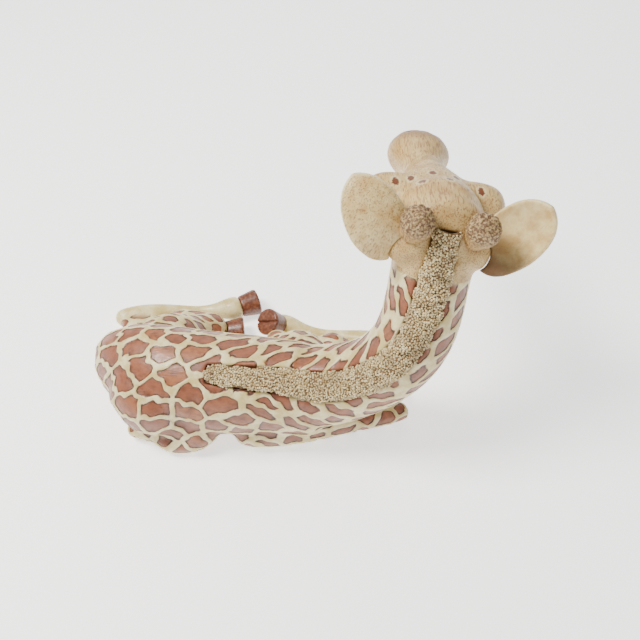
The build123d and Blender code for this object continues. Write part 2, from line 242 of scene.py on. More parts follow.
def welded(node):
    """The corner points and faces of a CAD node, in mm."""
    soup = bmesh.new()
    soup.from_mesh(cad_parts[node].data)
    bmesh.ops.remove_doubles(soup, verts=soup.verts, dist=1e-7)
    points = np.array([vertex.co[:] for vertex in soup.verts]) / MM
    faces = [[vertex.index for vertex in face.verts] for face in soup.faces]
    soup.free()
    return points, faces


def crossings(tree, x, y, top):
    """Heights at which a line straight down goes through a solid's skin."""
    heights = []
    start = top
    while True:
        hit, _, _, _ = tree.ray_cast(Vector((x, y, start)), Vector((0, 0, -1)))
        if hit is None:
            return heights
        heights.append(hit.z)
        start = hit.z - 1e-3


def fill(points, faces, low, step, fullness, owner=None, mark=0):
    """Adds a closed solid to the grid: how full each cube is, and whose it is."""
    tree = BVHTree.FromPolygons([Vector(p) for p in points], faces)
    first = np.maximum(np.floor((points.min(0) - low) / step).astype(int), 0)
    last = np.ceil((points.max(0) - low) / step).astype(int)
    top = points[:, 2].max() + 1.0
    centres = low[2] + np.arange(fullness.shape[2]) * step
    for i in range(first[0], last[0] + 1):
        for j in range(first[1], last[1] + 1):
            # a hair off the round number, so that the line doesn't run along an edge
            heights = crossings(tree, low[0] + i * step + 0.0137, low[1] + j * step + 0.0173, top)
            for upper, lower in zip(heights[0::2], heights[1::2]):
                share = np.minimum(upper, centres + step / 2) - np.maximum(lower, centres - step / 2)
                share = np.clip(share / step, 0, 1)
                fullness[i, j] += share
                if owner is not None:
                    owner[i, j][share > 0.3] = mark


hide_fullness = np.zeros(grid_shape, np.float32)
hide_owner = np.full(grid_shape, -1, np.int16)
for mark, node in enumerate(hide_nodes):
    fill(*welded(node), grid_low, grid_step, hide_fullness, hide_owner, mark)
for node in inner_nodes:
    fill(*welded(node), grid_low, grid_step, hide_fullness)
np.clip(hide_fullness, 0, 1, out=hide_fullness)
print("cubes in the hide:", int(hide_fullness.sum()), "of", hide_fullness.size)


# %% Blurring the grid and drawing the skin
def blurred(field, spread):
    """The field, blurred along each axis by a bell curve that is this many cubes wide."""
    reach = int(math.ceil(3 * spread))
    weights = np.exp(-0.5 * (np.arange(-reach, reach + 1) / spread) ** 2)
    weights /= weights.sum()
    for axis in range(3):
        total = np.zeros_like(field)
        for shift, weight in zip(range(-reach, reach + 1), weights):
            total += np.roll(field, shift, axis) * np.float32(weight)
        field = total
    return field


def skin(field, low, step):
    """Points and four-sided faces where the field goes through zero. Above zero is inside."""
    inside = field > 0
    cells = tuple(n - 1 for n in field.shape)
    corners = [(a, b, c) for a in (0, 1) for b in (0, 1) for c in (0, 1)]
    full = sum(inside[a:a + cells[0], b:b + cells[1], c:c + cells[2]].astype(np.int8) for a, b, c in corners)
    mixed = (full > 0) & (full < 8)
    number = np.full(cells, -1, np.int64)
    number[mixed] = np.arange(mixed.sum())
    total = np.zeros((mixed.sum(), 3))
    hits = np.zeros(mixed.sum())
    quads = []
    for axis in range(3):
        step_one = np.eye(3, dtype=int)[axis]
        near = tuple(slice(0, -1) if a == axis else slice(1, -1) for a in range(3))
        far = tuple(slice(1, None) if a == axis else slice(1, -1) for a in range(3))
        offset = np.array([0 if a == axis else 1 for a in range(3)])
        where = np.argwhere(inside[near] != inside[far]) + offset
        f0 = field[tuple(where.T)]
        f1 = field[tuple((where + step_one).T)]
        point = where + (f0 / (f0 - f1))[:, None] * step_one
        u, v = np.eye(3, dtype=int)[(axis + 1) % 3], np.eye(3, dtype=int)[(axis + 2) % 3]
        ring = [number[tuple((where - back).T)] for back in (0 * u, u, u + v, v)]
        for cell in ring:
            np.add.at(total, cell, point)
            np.add.at(hits, cell, 1)
        quad = np.stack(ring, axis=1)
        quads.append(np.where((f0 > 0)[:, None], quad, quad[:, ::-1]))
    return low + total / hits[:, None] * step, np.concatenate(quads)


def neighbours(quads):
    """Every edge of the skin, both ways round."""
    edges = np.concatenate([quads[:, [a, (a + 1) % 4]] for a in range(4)])
    return np.concatenate([edges, edges[:, ::-1]])


def relaxed(points, edges, rounds, strength):
    """Moves each point towards the middle of its neighbours. strength may differ from point to point."""
    strength = np.broadcast_to(np.asarray(strength, float), (len(points),))[:, None]
    count = np.bincount(edges[:, 0], minlength=len(points))[:, None]
    for _ in range(rounds):
        middle = np.stack([
            np.bincount(edges[:, 0], weights=points[edges[:, 1], axis], minlength=len(points))
            for axis in range(3)
        ], axis=1) / count
        points = points + (middle - points) * strength
    return points


def point_normals(points, quads):
    """Outward direction at each point."""
    across = points[quads[:, 2]] - points[quads[:, 0]]
    down = points[quads[:, 3]] - points[quads[:, 1]]
    area = np.cross(across, down)
    normals = np.zeros_like(points)
    for corner in range(4):
        np.add.at(normals, quads[:, corner], area)
    return normals / np.maximum(np.linalg.norm(normals, axis=1), 1e-9)[:, None]


corner_blur = 0.9              # mm
hide_points, hide_quads = skin(blurred(hide_fullness, corner_blur / grid_step) - 0.5, grid_low, grid_step)
hide_edges = neighbours(hide_quads)
print("hide skin:", len(hide_points), "points", len(hide_quads), "faces")


# %% [markdown]
# ## Whose skin is it?
# Each point of the skin belongs to the block just under it. Where two blocks meet, the points get extra
# relaxing, which is the rasp's work: the thigh then runs into the barrel, and the neck into the shoulders.

# %% Owners and blended joints
def smoothstep(value, start, end):
    """A smooth step from nought to one as the value goes from start to end."""
    t = np.clip((value - start) / (end - start), 0, 1)
    return t * t * (3 - 2 * t)


def spread_out(values, edges, rounds):
    """Lets values leak to their neighbours."""
    count = np.bincount(edges[:, 0], minlength=len(values))
    for _ in range(rounds):
        values = np.bincount(edges[:, 0], weights=values[edges[:, 1]], minlength=len(values)) / count
    return values


hide_normals = point_normals(hide_points, hide_quads)
hide_piece = np.full(len(hide_points), -1)
for depth in (0.6, 1.2, 2.0, 3.0, 0.0):      # mm under the skin: the first block that is met there owns it
    cube = np.round((hide_points - hide_normals * depth - grid_low) / grid_step).astype(int)
    found = hide_owner[tuple(cube.T)]
    hide_piece = np.where((hide_piece < 0) & (found >= 0), found, hide_piece)
hide_piece[hide_piece < 0] = 0
meets = (hide_piece[hide_edges[:, 0]] != hide_piece[hide_edges[:, 1]]).astype(float)
joint = np.bincount(hide_edges[:, 0], weights=meets, minlength=len(hide_points)) > 0
rasp_reach, rasp_rounds, rasp_gain = 40, 60, 4
joint_weight = np.clip(rasp_gain * spread_out(joint.astype(float), hide_edges, rasp_reach), 0, 1)
on_head = hide_piece == hide_nodes.index("head")
head_rim = 10                                # one on the head, and nought this many points from its edge
head_weight = np.clip(spread_out(on_head.astype(float), hide_edges, head_rim) * 2 - 1, 0, 1)
hide_points = relaxed(hide_points, hide_edges, 8, 0.5)
hide_points = relaxed(hide_points, hide_edges, rasp_rounds, 0.5 * joint_weight)
putty_coats = 6
for _ in range(putty_coats):           # in the creases beside the brows: only dents are filled
    smoother = relaxed(hide_points, hide_edges, 12, 0.5)
    outward = point_normals(hide_points, hide_quads)
    dent = np.einsum("ij,ij->i", smoother - hide_points, outward)
    hide_points = hide_points + outward * (np.clip(dent, 0, None) * head_weight)[:, None]
hide_points = relaxed(hide_points, hide_edges, 10, 0.5 * head_weight)
hide_normals = point_normals(hide_points, hide_quads)
print("points at joints:", int(joint.sum()))

# %% [markdown]
# ## Where things are on the animal
# The spots, the mane and the hair all follow the animal, not the room. The mane's block runs along its back,
# so its middle line gives, for every point of the hide, the way towards the head and its side of the mane.
# The eyes' beads and the tip of the nose give the head's own left, up and ahead.

# %% The back line and the head's own directions
mane_points, mane_faces = welded("mane")
along_mane = mane_points[:, 0] + mane_points[:, 2]      # it rises and runs forwards all the way
slabs = np.linspace(along_mane.min(), along_mane.max(), 15)
back_line = np.array([
    mane_points[(along_mane >= a) & (along_mane <= b)].mean(0) for a, b in zip(slabs, slabs[1:])
])
rump_x = hide_points[:, 0].min()
rump_start = back_line[0] + np.array([rump_x - back_line[0][0], 12.0, -14.0])
back_line = np.vstack([rump_start, (rump_start + back_line[0]) / 2 + [0, 0, 6.0], back_line])


def unit(vectors):
    """The same directions, each one long."""
    return vectors / np.maximum(np.linalg.norm(vectors, axis=-1, keepdims=True), 1e-9)


def follow(points, line):
    """Nearest place on a line, and the way along it there."""
    best = np.full(len(points), np.inf)
    place = np.zeros_like(points)
    way = np.zeros_like(points)
    slopes = unit(np.gradient(line, axis=0))
    for i, (a, b) in enumerate(zip(line, line[1:])):
        length = np.linalg.norm(b - a)
        t = np.clip((points - a) @ (b - a) / length**2, 0, 1)[:, None]
        near = a + (b - a) * t
        gap = np.linalg.norm(points - near, axis=1)
        nearer = gap < best
        best = np.where(nearer, gap, best)
        place = np.where(nearer[:, None], near, place)
        way = np.where(nearer[:, None], slopes[i] * (1 - t) + slopes[i + 1] * t, way)
    return place, unit(way)


def middle(node):
    """The middle of a node's box, in mm."""
    low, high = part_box(node)
    return np.array([(a + b) / 2 for a, b in zip(low, high)]) / MM


eye_middle = (middle("eye_left") + middle("eye_right")) / 2
head_left = unit(middle("eye_left") - middle("eye_right"))
head_points = hide_points[hide_piece == hide_nodes.index("head")]
nape = middle("head_dowel")
nose = head_points[np.argmax(np.linalg.norm(head_points - nape, axis=1))]
nose_drop = math.radians(8.0)          # the nose's tip lies this far under the way ahead
toward_nose = unit(nose - eye_middle - head_left * ((nose - eye_middle) @ head_left))
head_up = np.cross(toward_nose, head_left)
head_ahead = unit(toward_nose * math.cos(nose_drop) + head_up * math.sin(nose_drop))
head_up = np.cross(head_ahead, head_left)
face_length = (nose - eye_middle) @ head_ahead


def in_head(points):
    """Left, up and ahead of the middle between the eyes, in mm."""
    offset = points - eye_middle
    return offset @ head_left, offset @ head_up, offset @ head_ahead


print("head ahead", head_ahead.round(3), "up", head_up.round(3), "face length", round(float(face_length), 1))

# %% [markdown]
# ## Modelling the face and the flanks
# The blocks give only the masses. Soft pushes along the skin, each with a place, a width and a depth,
# give the nostrils, the mouth, the lids, the jaw, the crease of the hip and the dimple in the flank,
# the way a thumb or a small gouge would.

# %% Soft pushes
def push(points, normals, place, widths, axes, depth):
    """Moves the skin along its normal by depth mm, fading out over the widths along three directions."""
    offset = points - place
    spread = sum((offset @ axis / width) ** 2 for axis, width in zip(axes, widths))
    return points + normals * (depth * np.exp(-spread))[:, None]


head_axes = (head_left, head_up, head_ahead)


def head_place(left, up, ahead):
    """A place given in the head's own directions, in mm."""
    return eye_middle + head_left * left + head_up * up + head_ahead * ahead


# each push: where its middle is, its widths along the head's left, up and ahead, and its height
pushes = []
for side, eye in ((1, "eye_left"), (-1, "eye_right")):
    nostril = head_place(side * 8.5, -3.0, face_length - 7)
    lip_corner = head_place(side * 13.0, -15.0, face_length - 26)
    cheek = head_place(side * 17.0, -14.0, 6.0)
    temple = head_place(side * 24.0, 8.0, -16.0)
    pushes += [
        (nostril, (3.0, 2.2, 4.5), -2.2),
        (nostril, (6.0, 5.0, 8.0), 1.3),
        (lip_corner, (6.0, 2.2, 12.0), -1.0),
        (cheek, (9.0, 9.0, 14.0), 1.8),
        (temple, (8.0, 7.0, 9.0), -1.2),
        (middle(eye), (9.5, 8.5, 9.5), 1.5),
    ]
mouth = head_place(0, -14.0, face_length)
nose_ridge = head_place(0, 10.0, 26.0)
pushes += [(mouth, (16.0, 1.6, 10.0), -1.3), (nose_ridge, (7.0, 8.0, 20.0), 1.6)]
for place, widths, height in pushes:
    hide_points = push(hide_points, hide_normals, place, widths, head_axes, height)

room_axes = np.eye(3)
thigh_low, thigh_high = (np.array(corner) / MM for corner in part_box("hind_right_thigh"))
flank_dimple = np.array([thigh_high[0] - 22, thigh_low[1] + 6, thigh_high[2] * 0.62])
hip_crease = np.array([thigh_high[0] - 12, thigh_low[1] + 10, thigh_high[2] * 0.92])
for place, widths, height in ((flank_dimple, (7, 12, 6), -1.6), (hip_crease, (4, 14, 9), -1.3)):
    hide_points = push(hide_points, hide_normals, place, widths, room_axes, height)
hide_points = relaxed(hide_points, hide_edges, 2, 0.4)
hide_normals = point_normals(hide_points, hide_quads)

# %% [markdown]
# ## The spots
# A giraffe's spots are cells with a pale net between them. The carver scatters the middles of the spots, and
# each bit of hide belongs to the nearest middle; the net runs where two middles are equally near. On the neck
# and the shoulders the spots are long lozenges that slant away from the mane, so there the distance is
# measured with a ruler that is squeezed along the slant.

# %% Scattering the spots
random = np.random.default_rng(7)
back_place, back_way = follow(hide_points, back_line)
side_way = unit(np.cross(back_way, hide_normals))
limb_nodes = [n for n in hide_nodes if n not in ("torso", "neck", "head", "hind_right_thigh")]
on_limb = np.isin(hide_piece, [hide_nodes.index(n) for n in limb_nodes])
to_neck = smoothstep(hide_points[:, 0] + hide_points[:, 2] * 0.6, -35, 25)     # rump 0, neck 1
to_neck = np.where(on_limb, 0.35, to_neck)
crest_way = unit(np.array([0.0, -0.45, 0.89]))      # the side of the back that the mane is on
right_side = np.einsum("ij,ij->i", hide_points - back_place, np.cross(back_way, crest_way)) > 0
neck_slant = math.radians(36)
slant = np.where(right_side, 1.0, -1.0) * neck_slant * to_neck
flat_way = back_way - hide_normals * np.einsum("ij,ij->i", back_way, hide_normals)[:, None]
spot_way = unit(flat_way * np.cos(slant)[:, None] + side_way * np.sin(slant)[:, None])
rump_spot, neck_shrink, limb_spot = 12.0, 4.6, 7.5      # widths in mm, and how much less on the neck
spot_long = 1.2 + 1.2 * to_neck                         # length in parts of the width
spot_wide = np.where(on_limb, limb_spot, rump_spot - neck_shrink * to_neck)

tries = 9000
candidates = random.permutation(len(hide_points))[:tries]
seed_points, seed_ways, seed_long, seed_wide = [], [], [], []
for c in candidates:
    if seed_points:
        offset = np.array(seed_points) - hide_points[c]
        run = np.einsum("ij,ij->i", offset, np.array(seed_ways))
        gap = np.sqrt(np.maximum((offset**2).sum(1) - run**2 * (1 - 1 / np.array(seed_long) ** 2), 0))
        if (gap < 0.5 * (np.array(seed_wide) + spot_wide[c])).any():
            continue
    seed_points.append(hide_points[c])
    seed_ways.append(spot_way[c])
    seed_long.append(spot_long[c])
    seed_wide.append(spot_wide[c])
seed_points, seed_ways = np.array(seed_points), np.array(seed_ways)
seed_long = np.array(seed_long)
seed_tone = random.random(len(seed_points))
print("spots:", len(seed_points))


def wobble(points, size, seed):
    """Smooth random vectors, in parts of one, that change over this many mm."""
    dice = np.random.default_rng(seed)
    total = np.zeros_like(points)
    waves = 10
    for _ in range(waves):
        wave = dice.normal(size=(3,)) * 2 * math.pi / size * 0.55
        total += np.sin(points @ wave + dice.random() * 6.3)[:, None] * dice.normal(size=(3,))
    return total / 3.2


# %% Distance to the net
asked = hide_points + wobble(hide_points, 11.0, 3)     # so that the net isn't ruled with straight lines
farthest = 32                                           # mm that a spot can reach from its middle
first = np.full(len(asked), 1e3)
second = np.full(len(asked), 1e3)
spot_tone = np.zeros(len(asked))
order = np.argsort(asked[:, 0])
sorted_x = asked[order, 0]
for place, way, long, tone in zip(seed_points, seed_ways, seed_long, seed_tone):
    start, stop = np.searchsorted(sorted_x, (place[0] - farthest, place[0] + farthest))
    near = order[start:stop]
    offset = asked[near] - place
    run = offset @ way
    gap = np.sqrt(np.maximum((offset**2).sum(1) - run**2 * (1 - 1 / long**2), 0))
    closer = gap < first[near]
    second[near] = np.where(closer, first[near], np.minimum(second[near], gap))
    spot_tone[near] = np.where(closer, tone, spot_tone[near])
    first[near] = np.where(closer, gap, first[near])
net_distance = (second - first) / 2 * 1.25
spotless = ("hind_left_cannon", "hind_right_cannon", "fore_left_cannon", "fore_right_cannon", "head")
plain = np.isin(hide_piece, [hide_nodes.index(n) for n in spotless]).astype(float)
plain = spread_out(plain, hide_edges, 12)
recess = smoothstep(net_distance, 1.2, 2.4) * (1 - plain)
spot_depth = 0.55
hide_points = hide_points - hide_normals * (spot_depth * recess)[:, None]
hide_normals = point_normals(hide_points, hide_quads)
print("spotted share of the hide:", round(float((recess > 0.5).mean()), 2))

# %% [markdown]
# ## Cutting the skin into its pieces
# The skin is one surface, but the statue is glued up from blocks, so it is cut along the glue lines. Every
# piece keeps the one skin's shading at the cut, so no seam shows, and the cut side is closed with a flat cap.

# %% Pieces of hide
def new_object(name, mesh):
    piece = bpy.data.objects.new(name, mesh)
    bpy.context.scene.collection.objects.link(piece)
    return piece


def settle(piece, slot, *nodes):
    """Hides the CAD nodes that a piece stands for, and rides the piece on the statue's one body."""
    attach(piece, "root")
    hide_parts(*nodes)
    return piece


def cut_piece(name, chosen, points, normals, quads, values, paint):
    """A mesh of the chosen faces, with its cut side capped, and with values on its points."""
    faces = quads[chosen]
    used, faces = np.unique(faces, return_inverse=True)
    faces = faces.reshape(-1, 4)
    mesh = bpy.data.meshes.new(name)
    mesh.from_pydata(points[used] * MM, [], faces.tolist())
    shape = bmesh.new()
    shape.from_mesh(mesh)
    rim = [edge for edge in shape.edges if edge.is_boundary]
    caps = bmesh.ops.holes_fill(shape, edges=rim, sides=0)["faces"]
    bmesh.ops.triangulate(shape, faces=caps)
    shape.normal_update()
    shape.to_mesh(mesh)
    shape.free()
    mesh.materials.append(paint)
    for label, data in values.items():
        layer = mesh.attributes.new(label, "FLOAT", "POINT")
        layer.data.foreach_set("value", data[used].astype(np.float32))
    mesh.polygons.foreach_set("use_smooth", np.ones(len(mesh.polygons), bool))
    loop_points = np.empty(len(mesh.loops), np.int32)
    mesh.loops.foreach_get("vertex_index", loop_points)
    custom = normals[used][loop_points]
    for polygon in list(mesh.polygons)[len(faces):]:
        custom[polygon.loop_start:polygon.loop_start + polygon.loop_total] = polygon.normal[:]
    mesh.normals_split_custom_set(custom.tolist())
    return new_object(name, mesh)


# %% [markdown]
# ## The painted hide
# The hide was painted brown, the net was left or painted cream, and a dark wash was wiped into the cuts, so
# every spot has a thin dark edge. Worn places are paler. The spots' distance to the net is on the points;
# fine strokes of hair and the wash come from noise, fixed to the object. Creases and the foot of the mane are
# darkened with painted shade.

# %% Hide paint
cream = srgb(0.78, 0.70, 0.45)
pale_cream = srgb(0.90, 0.85, 0.66)
spot_pink = srgb(0.55, 0.32, 0.21)
spot_orange = srgb(0.62, 0.38, 0.23)
spot_dark = srgb(0.43, 0.24, 0.16)
# a dark wash for the spots' cuts, and also painted shade in the creases
dark_wash_and_shade = srgb(0.22, 0.13, 0.07)


def hide_paint():
    paint = Paint("painted_hide", roughness=0.42, coat=0.15)
    ragged = paint.sum(paint.noise(2.6, detail=4), 0.5, "SUBTRACT")
    distance = paint.sum(paint.attribute("net"), paint.sum(ragged, 1.1, "MULTIPLY"))
    spot = paint.band(distance, 1.45, 1.95)
    spot = paint.sum(spot, paint.sum(1.0, paint.attribute("plain"), "SUBTRACT"), "MULTIPLY")
    tone = paint.attribute("tone")
    brown = paint.mix(paint.band(tone, 0.45, 0.95), spot_pink, spot_orange)
    brown = paint.mix(paint.band(paint.noise(5.0, detail=5), 0.35, 0.75), brown, spot_dark)
    streaks = paint.noise(1.3, detail=2, stretch=(4, 1, 1))
    brown = paint.mix(paint.band(streaks, 0.52, 0.75, 0.0, 0.45), brown, spot_dark)
    pale = paint.mix(paint.band(paint.noise(9.0), 0.35, 0.7), cream, pale_cream)
    pale = paint.mix(paint.band(paint.noise(1.6, detail=4), 0.55, 0.8, 0.0, 0.35), pale, spot_orange)
    colour = paint.mix(spot, pale, brown)
    inner = paint.band(distance, 1.5, 1.9)
    outer = paint.band(distance, 2.1, 2.8, 1.0, 0.0)
    broken = paint.band(paint.noise(4.0), 0.38, 0.6, 0.15, 0.95)
    edge = paint.sum(paint.sum(inner, outer, "MULTIPLY"), broken, "MULTIPLY")
    edge = paint.sum(edge, spot, "MULTIPLY")
    colour = paint.mix(edge, colour, dark_wash_and_shade)
    # painted shade: darker in the hide's creases and along the foot of the mane
    crease_shade = paint.band(paint.attribute("crease_shade"), 0.03, 0.30, 0.0, 0.85)
    colour = paint.mix(crease_shade, colour, dark_wash_and_shade)
    strokes = paint.noise(0.9, detail=2, stretch=(6, 1, 1))
    relief = paint.sum(paint.sum(strokes, 0.5, "MULTIPLY"), paint.sum(edge, -0.9, "MULTIPLY"))
    relief = paint.sum(relief, paint.sum(spot, -0.4, "MULTIPLY"))
    return paint.finish(colour, relief, 0.35, paint.band(paint.noise(3.0), 0.3, 0.7, 0.34, 0.52))


def head_paint():
    """Golden tan with fine strokes along the face, a few brown marks on the brow and painted shade in the
    creases.
    """
    paint = Paint("head_hide", roughness=0.45, coat=0.12)
    strokes = paint.noise(0.75, detail=2, stretch=(1, 9, 1))
    base = paint.mix(paint.band(paint.noise(12.0), 0.3, 0.7), srgb(0.70, 0.56, 0.32), srgb(0.82, 0.71, 0.48))
    base = paint.mix(paint.band(strokes, 0.48, 0.66, 0.0, 0.8), base, srgb(0.52, 0.35, 0.20))
    uneven = paint.sum(paint.attribute("mark"), paint.sum(paint.noise(1.5), 0.8, "MULTIPLY"))
    mark = paint.band(uneven, 0.95, 1.15)
    rim = paint.band(paint.attribute("mark"), 0.22, 0.45, 0.0, 0.45)
    base = paint.mix(rim, base, pale_cream)
    base = paint.mix(mark, base, srgb(0.42, 0.22, 0.11))
    base = paint.mix(paint.attribute("muzzle"), base, srgb(0.52, 0.37, 0.27))
    # painted shade: darker in the creases of the face
    crease_shade = paint.band(paint.attribute("crease_shade"), 0.03, 0.28, 0.0, 0.9)
    base = paint.mix(crease_shade, base, dark_wash_and_shade)
    return paint.finish(base, strokes, 0.30)


# how deep each point sits in a crease, and below, how near it is to the mane's foot: painted shade darkens
# both
crease_shade = np.einsum("ij,ij->i", relaxed(hide_points, hide_edges, 12, 0.5) - hide_points, hide_normals)
mane_solid = BVHTree.FromPolygons([Vector(p) for p in mane_points], mane_faces)
far = 6.0                      # mm, well clear of the mane
beside_mane = np.array([mane_solid.find_nearest(Vector(p), far)[3] or far for p in hide_points])
mane_foot_shade = 0.22 * (1 - smoothstep(beside_mane, 0.2, 1.9))
crease_shade = np.maximum(crease_shade, mane_foot_shade)           # painted shade also darkens the hide along the foot of the mane
left, up, ahead = in_head(hide_points)
brow_marks = (              # left and ahead of the middle between the eyes
    (34, -12), (26, -8), (17, -5), (13, -15), (5, -2), (-2, -14), (-9, -3), (-14, -13), (-24, -8),
)
mark_wide, mark_long = 3.0, 4.2
mark = np.zeros(len(hide_points))
for mark_left, mark_ahead in brow_marks:
    gap = ((left - mark_left) / mark_wide) ** 2 + ((ahead - mark_ahead) / mark_long) ** 2
    mark = np.maximum(mark, np.where((up > 2) & on_head, np.exp(-gap), 0))
muzzle = smoothstep(ahead, face_length - 26, face_length - 8) * on_head * 0.8
paints = {"hide": hide_paint(), "head": head_paint()}
values = {"net": net_distance, "tone": spot_tone, "plain": plain}
values.update({"crease_shade": crease_shade, "mark": mark, "muzzle": muzzle})
face_piece = hide_piece[hide_quads[:, 0]]
for mark_number, node in enumerate(hide_nodes):
    finish = paints["head" if node == "head" else "hide"]
    chosen = face_piece == mark_number
    piece = cut_piece(node + "_hide", chosen, hide_points, hide_normals, hide_quads, values, finish)
    settle(piece, "painted_hide", node)
    print(piece.name, "faces", len(piece.data.polygons))


# %% [markdown]
# ## Smaller blocks
# Ears, horns, hooves, the mane's strip and the tail's tuft are blocks of their own. Each goes through the
# same grid with finer cubes, so its edges come out softened as if sanded, and it stays where its block is.

# %% Softening a single block
def softened(node, step, spread):
    """The skin of one CAD node, with soft edges: points, normals and faces."""
    points, faces = welded(node)
    low = points.min(0) - 5 * step
    shape = np.ceil((points.max(0) - low) / step).astype(int) + 6
    fullness = np.zeros(shape, np.float32)
    fill(points, faces, low, step, fullness)
    np.clip(fullness, 0, 1, out=fullness)
    points, quads = skin(blurred(fullness, spread / step) - 0.5, low, step)
    points = relaxed(points, neighbours(quads), 3, 0.5)
    return points, point_normals(points, quads), quads


def whole_piece(name, points, quads, values, paint):
    """A mesh of a whole skin, with values on its points."""
    mesh = bpy.data.meshes.new(name)
    mesh.from_pydata(points * MM, [], quads.tolist())
    mesh.materials.append(paint)
    mesh.polygons.foreach_set("use_smooth", np.ones(len(quads), bool))
    for label, data in values.items():
        layer = mesh.attributes.new(label, "FLOAT", "POINT")
        layer.data.foreach_set("value", data.astype(np.float32))
    return new_object(name, mesh)


# %% [markdown]
# ## Ears
# Each ear is a cupped leaf. Its inside is smooth and darkens towards its root with painted shade, its rim is
# thick and rolled, and its back is scored with hair.

# %% Ears
def ear_paint():
    paint = Paint("ear_hide", roughness=0.42, coat=0.15)
    strokes = paint.noise(0.8, detail=2, stretch=(1, 1, 7), turn=(0.2, 0.35, 0))
    base = paint.mix(paint.band(paint.noise(7.0), 0.3, 0.7), srgb(0.76, 0.62, 0.38), srgb(0.86, 0.77, 0.54))
    scored = paint.band(strokes, 0.5, 0.7, 0.0, 0.6)
    inside = paint.attribute("inside")
    scored = paint.sum(scored, paint.sum(1.0, paint.sum(inside, 0.75, "MULTIPLY"), "SUBTRACT"), "MULTIPLY")
    base = paint.mix(scored, base, srgb(0.46, 0.31, 0.16))
    # painted shade: the cupped inside darkens towards the ear's root
    depth = paint.sum(paint.band(paint.attribute("root"), 0.45, 1.0, 0.0, 0.9), inside, "MULTIPLY")
    base = paint.mix(depth, base, srgb(0.36, 0.22, 0.14))
    base = paint.mix(paint.sum(paint.attribute("rim"), 0.6, "MULTIPLY"), base, pale_cream)
    return paint.finish(base, paint.sum(scored, -1.0, "MULTIPLY"), 0.3)


ear_finish = ear_paint()
fine_step = 0.5
for node in ("ear_left", "ear_right"):
    points, normals, quads = softened(node, fine_step, 0.45)
    centre = points.mean(0)
    _, axes = np.linalg.eigh(np.cov((points - centre).T))
    thin, across, along = axes[:, 0], axes[:, 1], axes[:, 2]
    if (centre - nape) @ along < 0:
        along = -along
    run = (points - centre) @ along
    run = (run - run.min()) / (run.max() - run.min())
    bowl = points - centre
    bend = np.polyfit((bowl @ across) ** 2 + (bowl @ along) ** 2, bowl @ thin, 1)[0]
    hollow_way = thin * np.sign(bend)
    inside = smoothstep(normals @ hollow_way, 0.0, 0.5)
    rim = 1 - smoothstep(np.abs(normals @ thin), 0.25, 0.75)
    values_here = {"inside": inside, "root": 1 - run, "rim": rim * smoothstep(run, 0.15, 0.4)}
    points = points + normals * (0.8 * values_here["rim"])[:, None]
    piece = whole_piece(node + "_leaf", points, quads, values_here, ear_finish)
    settle(piece, "ear_hide", node)
    print(piece.name, "faces", len(quads))


# %% [markdown]
# ## Horns
# The two ossicones are furry stalks with rough knobs. Small random waves push their skin in and out.

# %% Horns
def horn_paint():
    paint = Paint("horn", roughness=0.6)
    rough = paint.noise(1.3, detail=4)
    tip = paint.attribute("tip")
    hair = paint.band(paint.noise(0.9, stretch=(1, 1, 5)), 0.45, 0.65)
    stalk = paint.mix(hair, srgb(0.72, 0.58, 0.36), srgb(0.45, 0.32, 0.19))
    knob = paint.mix(paint.band(rough, 0.42, 0.62), srgb(0.38, 0.27, 0.17), srgb(0.70, 0.59, 0.40))
    return paint.finish(paint.mix(tip, stalk, knob), rough, 0.6)


horn_finish = horn_paint()
for node in ("ossicone_left", "ossicone_right"):
    points, normals, quads = softened(node, fine_step, 0.5)
    top = points[np.argmax(points @ head_up)]
    tip = 1 - smoothstep(np.linalg.norm(points - top, axis=1), 13.0, 19.0)
    rough = wobble(points, 3.2, 11)[:, 0] * 0.32 + wobble(points, 1.9, 12)[:, 0] * 0.25
    points = points + normals * (rough * (0.25 + tip))[:, None]
    piece = whole_piece(node + "_horn", points, quads, {"tip": tip}, horn_finish)
    settle(piece, "horn", node)
    print(piece.name, "faces", len(quads))


# %% [markdown]
# ## Hooves
# Reddish brown cloven hooves, waxed to a low shine and scuffed in patches.

# %% Hooves
def hoof_paint():
    paint = Paint("hoof", roughness=0.4, coat=0.2)
    worn = paint.noise(2.0, detail=5)
    base = paint.mix(paint.band(worn, 0.4, 0.7), srgb(0.36, 0.18, 0.11), srgb(0.52, 0.31, 0.20))
    return paint.finish(base, worn, 0.3, paint.band(worn, 0.3, 0.7, 0.32, 0.5))


hoof_finish = hoof_paint()
for node in ("hind_left_hoof", "hind_right_hoof", "fore_left_hoof", "fore_right_hoof"):
    points, normals, quads = softened(node, fine_step, 0.4)
    piece = whole_piece(node + "_horny", points, quads, {}, hoof_finish)
    settle(piece, "hoof", node)


# %% [markdown]
# ## The mane
# The mane is a raised strip, stippled all over with a small gouge until it looks like crumbs, painted cream.
# The strip is softened and painted dark as painted shade for the pits, and Geometry Nodes scatter crumbs on
# it.

# %% Mane and tuft
def crumb_paint():
    paint = Paint("mane_hair", roughness=0.5)
    worn = paint.noise(1.8, detail=4)
    big = paint.noise(14.0)
    base = paint.mix(paint.band(worn, 0.35, 0.65), srgb(0.66, 0.56, 0.37), srgb(0.90, 0.84, 0.66))
    base = paint.mix(paint.band(big, 0.45, 0.7, 0.0, 0.5), base, srgb(0.50, 0.40, 0.27))
    return paint.finish(base, worn, 0.3)


# painted shade: the dark strip under the crumbs stands for the shade in the pits between them
def pit_shade_paint():
    paint = Paint("mane_pit_shade", roughness=0.7)
    worn = paint.noise(1.2, detail=4)
    pit_shade = paint.mix(paint.band(worn, 0.35, 0.65), srgb(0.30, 0.21, 0.12), srgb(0.50, 0.39, 0.25))
    return paint.finish(pit_shade, worn, 0.4)


